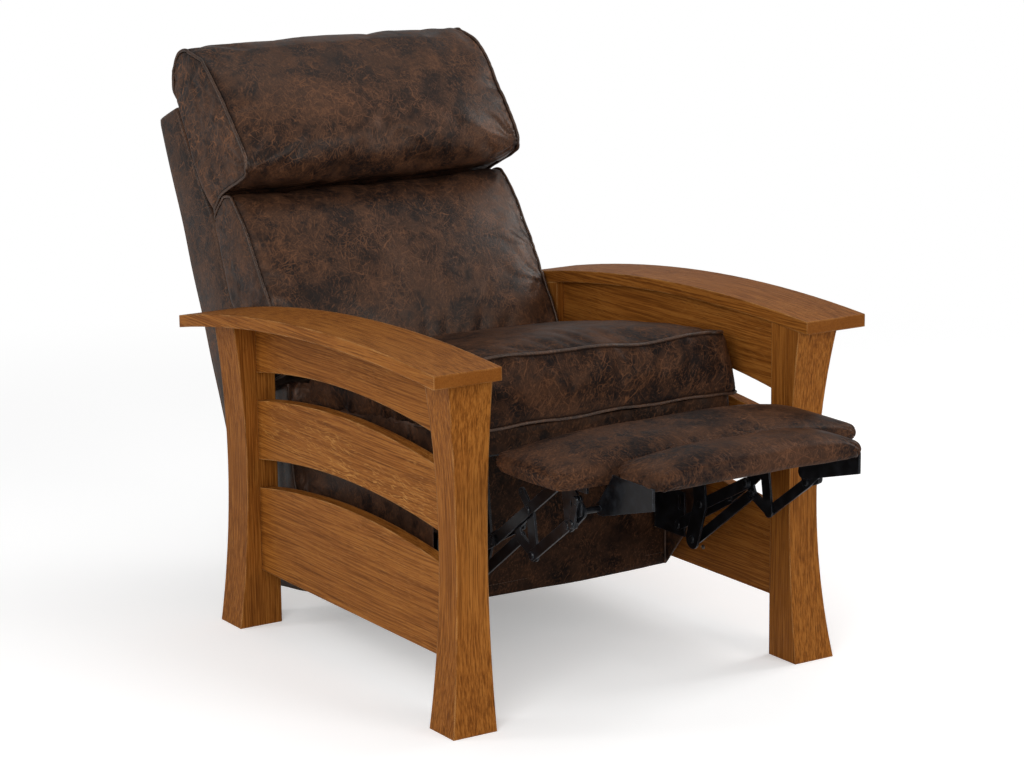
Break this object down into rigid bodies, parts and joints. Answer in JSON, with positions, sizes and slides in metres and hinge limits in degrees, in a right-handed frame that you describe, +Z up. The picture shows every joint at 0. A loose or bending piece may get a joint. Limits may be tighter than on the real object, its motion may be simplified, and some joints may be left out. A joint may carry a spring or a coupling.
{
  "type": "mission reclining armchair",
  "caption": "Bowed-arm oak recliner with arched side slats, leather seat, lumbar and head pillows, a tilting back and a fold-out footrest.",
  "frame": {"origin": "on the floor below the middle of the whole chair's box, footrest out", "axes": "+Y from the footrest to the back, +X to the sitter's left as seen from the front, +Z up"},
  "size_m": [0.85, 1.4946, 1.0207],
  "materials": {
    "oak": "satin",
    "frame_wood": "matte",
    "leather": "satin",
    "padded_leather": "satin",
    "webbing": "matte",
    "deck_cloth": "matte",
    "black_steel": "satin",
    "bright_steel": "satin"
  },
  "bodies": {
    "base": {"arm_board_left": "oak", "arm_board_right": "oak", "back_hinge_pins": "bright_steel", "bottom_rail_left": "oak", "bottom_rail_right": "oak", "cross_rail": "frame_wood", "cross_tube": "black_steel", "frame_bolts": "bright_steel", "front_border": "leather", "front_leg_left": "oak", "front_leg_right": "oak", "front_rail": "frame_wood", "hanger_plates": "black_steel", "lower_back_board": "frame_wood", "middle_slat_left": "oak", "middle_slat_right": "oak", "rail_screws": "bright_steel", "rear_leg_left": "oak", "rear_leg_right": "oak", "rear_rail": "frame_wood", "seat_cushion": "padded_leather", "seat_deck": "deck_cloth", "seat_webbing": "webbing", "side_board_left": "frame_wood", "side_board_right": "frame_wood", "side_covers": "leather", "side_plates": "black_steel", "skirt_panel": "leather", "spacer_blocks": "frame_wood", "top_slat_left": "oak", "top_slat_right": "oak"},
    "rear_link_left": {"rear_link_left": "black_steel"},
    "long_link_left": {"long_link_left": "black_steel"},
    "bell_crank_left": {"bell_crank_left": "black_steel"},
    "front_link_left": {"front_link_left": "black_steel"},
    "guide_link_left": {"guide_link_left": "black_steel"},
    "drive_link_left": {"drive_link_left": "black_steel"},
    "tuck_link_left": {"tuck_link_left": "black_steel"},
    "rear_link_right": {"rear_link_right": "black_steel"},
    "long_link_right": {"long_link_right": "black_steel"},
    "bell_crank_right": {"bell_crank_right": "black_steel"},
    "front_link_right": {"front_link_right": "black_steel"},
    "guide_link_right": {"guide_link_right": "black_steel"},
    "drive_link_right": {"drive_link_right": "black_steel"},
    "tuck_link_right": {"tuck_link_right": "black_steel"},
    "footrest": {"pad_brackets": "black_steel", "main_board": "frame_wood", "main_pad": "padded_leather"},
    "flipper": {"tuck_arms": "black_steel", "front_board": "frame_wood", "front_pad": "padded_leather"},
    "back": {"back_shell": "leather", "back_stiles": "frame_wood", "back_top_rail": "frame_wood", "back_bottom_rail": "frame_wood", "back_webbing": "webbing", "back_hinges": "black_steel", "lumbar_pillow": "padded_leather", "head_pillow": "padded_leather"}
  },
  "joints": [
    {"name": "footrest_fold", "type": "hinge", "parent": "base", "child": "rear_link_left", "pos_m": [-0.2435, -0.18439, 0.2], "axis": [-1, 0, 0], "range_deg": [0, 80.4]},
    {"name": "long_link_left_pivot", "type": "hinge", "parent": "rear_link_left", "child": "long_link_left", "pos_m": [-0.239, -0.34235, 0.28505], "axis": [1, 0, 0], "range_deg": [0, 132.83]},
    {"name": "bell_crank_left_pivot", "type": "hinge", "parent": "long_link_left", "child": "bell_crank_left", "pos_m": [-0.2345, -0.44289, 0.35677], "axis": [1, 0, 0], "range_deg": [0, 37.91]},
    {"name": "front_link_left_pivot", "type": "hinge", "parent": "bell_crank_left", "child": "front_link_left", "pos_m": [-0.239, -0.45391, 0.28481], "axis": [-1, 0, 0], "range_deg": [0, 37.91]},
    {"name": "guide_link_left_pivot", "type": "hinge", "parent": "base", "child": "guide_link_left", "pos_m": [-0.2255, -0.28439, 0.263], "axis": [-1, 0, 0], "range_deg": [0, 95.14]},
    {"name": "drive_link_left_pivot", "type": "hinge", "parent": "base", "child": "drive_link_left", "pos_m": [-0.23, -0.26139, 0.195], "axis": [-1, 0, 0], "range_deg": [0, 75.34]},
    {"name": "tuck_link_left_pivot", "type": "hinge", "parent": "front_link_left", "child": "tuck_link_left", "pos_m": [-0.2435, -0.57411, 0.36357], "axis": [1, 0, 0], "range_deg": [0, 95.69]},
    {"name": "rear_link_right_pivot", "type": "hinge", "parent": "base", "child": "rear_link_right", "pos_m": [0.2435, -0.18439, 0.2], "axis": [-1, 0, 0], "range_deg": [0, 80.56]},
    {"name": "long_link_right_pivot", "type": "hinge", "parent": "rear_link_right", "child": "long_link_right", "pos_m": [0.239, -0.34235, 0.28505], "axis": [1, 0, 0], "range_deg": [0, 132.83]},
    {"name": "bell_crank_right_pivot", "type": "hinge", "parent": "long_link_right", "child": "bell_crank_right", "pos_m": [0.2345, -0.44289, 0.35677], "axis": [1, 0, 0], "range_deg": [0, 37.91]},
    {"name": "front_link_right_pivot", "type": "hinge", "parent": "bell_crank_right", "child": "front_link_right", "pos_m": [0.239, -0.45391, 0.28481], "axis": [-1, 0, 0], "range_deg": [0, 37.91]},
    {"name": "guide_link_right_pivot", "type": "hinge", "parent": "base", "child": "guide_link_right", "pos_m": [0.2255, -0.28439, 0.263], "axis": [-1, 0, 0], "range_deg": [0, 95.14]},
    {"name": "drive_link_right_pivot", "type": "hinge", "parent": "base", "child": "drive_link_right", "pos_m": [0.23, -0.26139, 0.195], "axis": [-1, 0, 0], "range_deg": [0, 75.34]},
    {"name": "tuck_link_right_pivot", "type": "hinge", "parent": "front_link_right", "child": "tuck_link_right", "pos_m": [0.2435, -0.57411, 0.36357], "axis": [1, 0, 0], "range_deg": [0, 95.69]},
    {"name": "footrest_pivot", "type": "hinge", "parent": "long_link_left", "child": "footrest", "pos_m": [0, -0.54368, 0.42866], "axis": [1, 0, 0], "range_deg": [0, 37.91]},
    {"name": "front_pad_flip", "type": "hinge", "parent": "footrest", "child": "flipper", "pos_m": [0, -0.58868, 0.38573], "axis": [1, 0, 0], "range_deg": [0, 97.29]},
    {"name": "back_recline", "type": "hinge", "parent": "base", "child": "back", "pos_m": [0, 0.27661, 0.3], "axis": [-1, 0, 0], "range_deg": [-6, 20]}
  ],
  "couplings": [
    {"joint": "long_link_left_pivot", "follows": "footrest_fold", "ratio": 1.6488},
    {"joint": "bell_crank_left_pivot", "follows": "footrest_fold", "ratio": 0.47056},
    {"joint": "front_link_left_pivot", "follows": "footrest_fold", "ratio": 0.47056},
    {"joint": "guide_link_left_pivot", "follows": "footrest_fold", "ratio": 1.181},
    {"joint": "drive_link_left_pivot", "follows": "footrest_fold", "ratio": 0.93517},
    {"joint": "tuck_link_left_pivot", "follows": "footrest_fold", "ratio": 1.1879},
    {"joint": "rear_link_right_pivot", "follows": "footrest_fold", "ratio": 1},
    {"joint": "long_link_right_pivot", "follows": "footrest_fold", "ratio": 1.6488},
    {"joint": "bell_crank_right_pivot", "follows": "footrest_fold", "ratio": 0.47056},
    {"joint": "front_link_right_pivot", "follows": "footrest_fold", "ratio": 0.47056},
    {"joint": "guide_link_right_pivot", "follows": "footrest_fold", "ratio": 1.181},
    {"joint": "drive_link_right_pivot", "follows": "footrest_fold", "ratio": 0.93517},
    {"joint": "tuck_link_right_pivot", "follows": "footrest_fold", "ratio": 1.1879},
    {"joint": "footrest_pivot", "follows": "footrest_fold", "ratio": 0.47056},
    {"joint": "front_pad_flip", "follows": "footrest_fold", "ratio": 1.2076}
  ]
}
